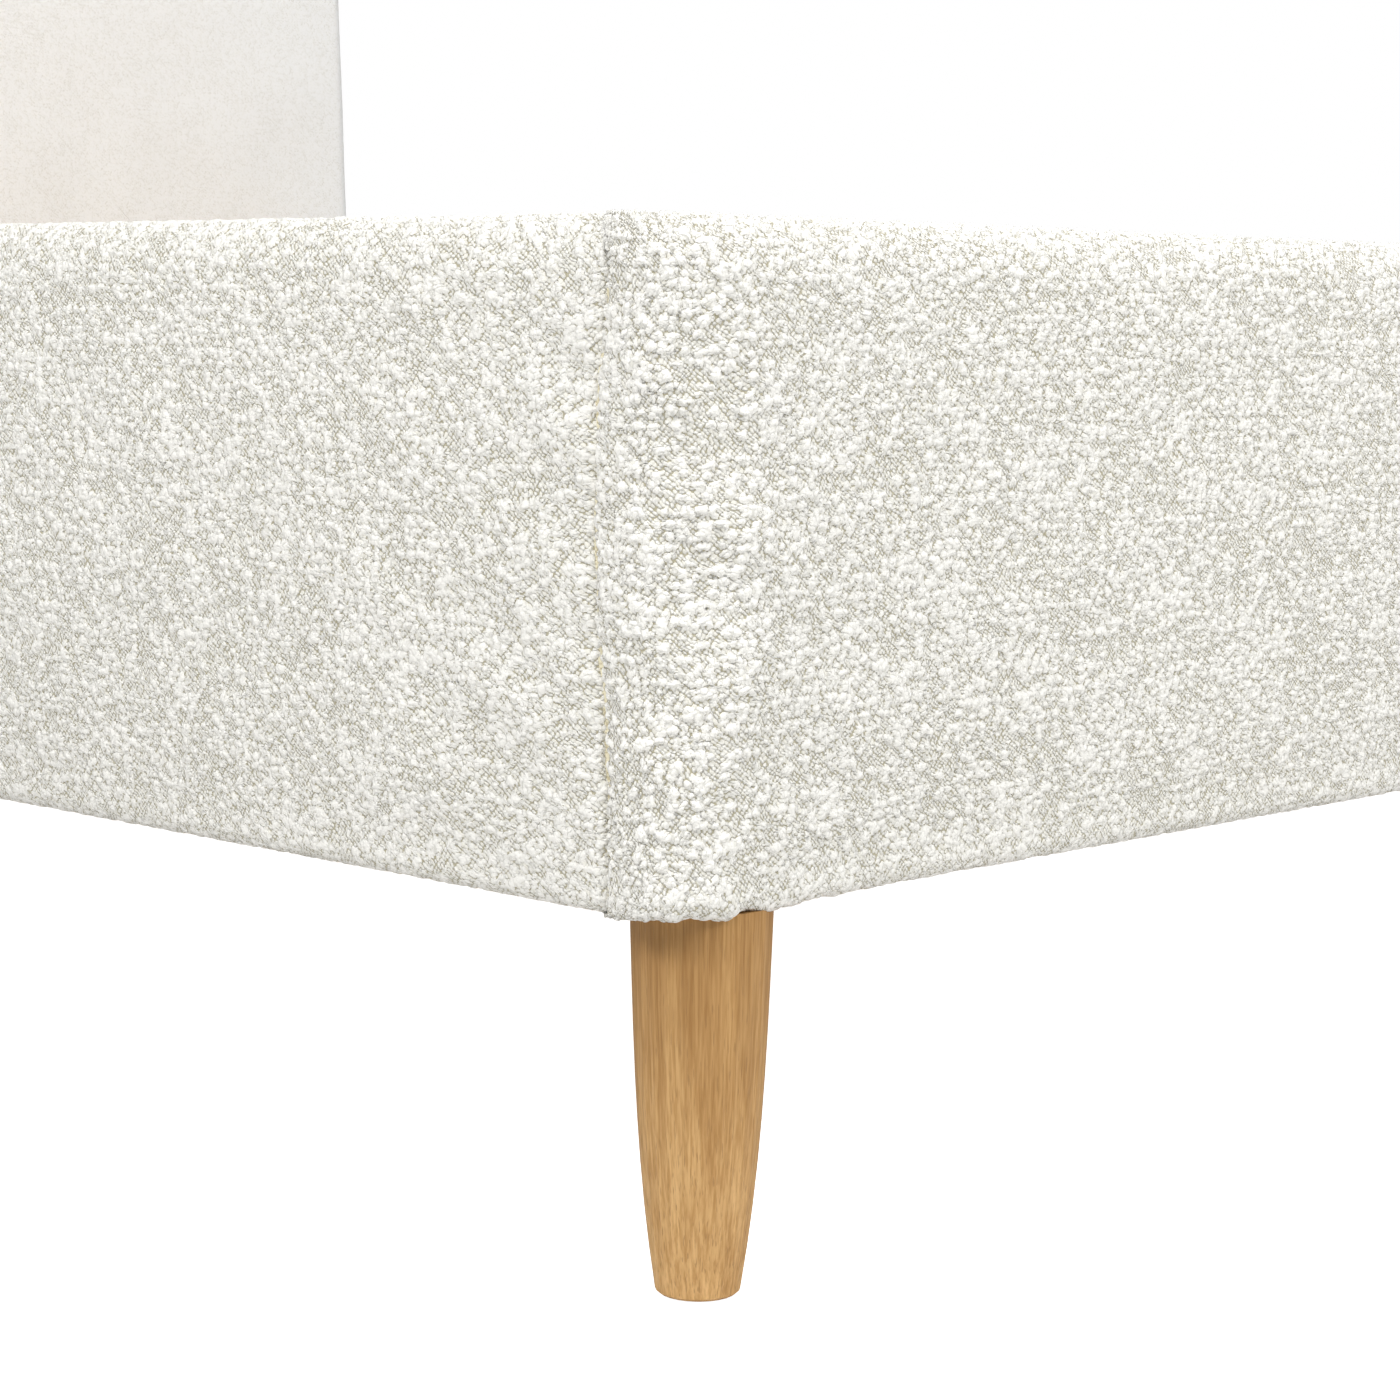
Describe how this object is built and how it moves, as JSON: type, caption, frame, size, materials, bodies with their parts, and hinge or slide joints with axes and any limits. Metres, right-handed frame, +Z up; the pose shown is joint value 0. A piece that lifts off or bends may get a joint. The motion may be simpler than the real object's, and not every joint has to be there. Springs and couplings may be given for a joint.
{
  "type": "upholstered platform bed",
  "caption": "Queen platform bed with a raked padded headboard, padded rails in cream boucle on turned oak legs, and a slatted base with levelling centre legs.",
  "frame": {"origin": "centre of the footprint, on the floor", "axes": "+Z up; +Y from the foot to the head; +X to the right seen from the foot"},
  "size_m": [1.64, 2.2308, 1.199],
  "materials": {
    "boucle": "cream boucle, matte",
    "foam": "open-cell polyurethane foam",
    "oak": "light oak, satin lacquer",
    "pine": "planed pine",
    "plywood": "birch plywood",
    "zinc_steel": "bright zinc",
    "nylon": "natural nylon",
    "dust_cover_cloth": "black non-woven"
  },
  "bodies": {
    "bed_frame": {"headboard_panel": "plywood", "headboard_foam": "foam", "headboard_cover": "boucle", "headboard_dust_cover": "dust_cover_cloth", "foot_rail_core": "pine", "foot_rail_foam": "foam", "foot_rail_cover": "boucle", "side_rail_left_core": "pine", "side_rail_left_foam": "foam", "side_rail_left_cover": "boucle", "side_rail_right_core": "pine", "side_rail_right_foam": "foam", "side_rail_right_cover": "boucle", "slat_ledger_left": "pine", "slat_ledger_right": "pine", "head_crossbar": "pine", "centre_beam": "pine", "beam_hanger_foot": "zinc_steel", "beam_hanger_head": "zinc_steel", "leg_foot_left": "oak", "hanger_bolt_foot_left": "zinc_steel", "leg_glide_foot_left": "nylon", "corner_bracket_foot_left": "zinc_steel", "bracket_bolt_foot_left": "zinc_steel", "leg_foot_right": "oak", "hanger_bolt_foot_right": "zinc_steel", "leg_glide_foot_right": "nylon", "corner_bracket_foot_right": "zinc_steel", "bracket_bolt_foot_right": "zinc_steel", "leg_head_left": "oak", "hanger_bolt_head_left": "zinc_steel", "leg_glide_head_left": "nylon", "corner_bracket_head_left": "zinc_steel", "bracket_bolt_head_left": "zinc_steel", "leg_head_right": "oak", "hanger_bolt_head_right": "zinc_steel", "leg_glide_head_right": "nylon", "corner_bracket_head_right": "zinc_steel", "bracket_bolt_head_right": "zinc_steel", "slat_01": "pine", "slat_02": "pine", "slat_03": "pine", "slat_04": "pine", "slat_05": "pine", "slat_06": "pine", "slat_07": "pine", "slat_08": "pine", "slat_09": "pine", "slat_10": "pine", "slat_11": "pine", "slat_12": "pine", "slat_13": "pine", "centre_leg_foot": "pine", "centre_leg_bolt_foot": "zinc_steel", "centre_leg_head": "pine", "centre_leg_bolt_head": "zinc_steel"},
    "pad_foot": {"leveller_pad_foot": "nylon"},
    "stem_foot": {"leveller_stem_foot": "zinc_steel"},
    "pad_head": {"leveller_pad_head": "nylon"},
    "stem_head": {"leveller_stem_head": "zinc_steel"}
  },
  "joints": [
    {"name": "foot_pad_slide", "type": "slide", "parent": "bed_frame", "child": "pad_foot", "axis": [0, 0, -1], "range_m": [-0.0125, 0.0125]},
    {"name": "foot_stem_turn", "type": "hinge", "parent": "pad_foot", "child": "stem_foot", "pos_m": [0, -0.43255, 0.03], "axis": [0, 0, -1], "range_deg": [-3599, 3599]},
    {"name": "head_pad_slide", "type": "slide", "parent": "bed_frame", "child": "pad_head", "axis": [0, 0, -1], "range_m": [-0.0125, 0.0125]},
    {"name": "head_stem_turn", "type": "hinge", "parent": "pad_head", "child": "stem_head", "pos_m": [0, 0.26745, 0.03], "axis": [0, 0, -1], "range_deg": [-3599, 3599]}
  ],
  "couplings": [
    {"joint": "foot_pad_slide", "follows": "foot_stem_turn", "m_per_rad": 0.00019894},
    {"joint": "head_pad_slide", "follows": "head_stem_turn", "m_per_rad": 0.00019894}
  ]
}
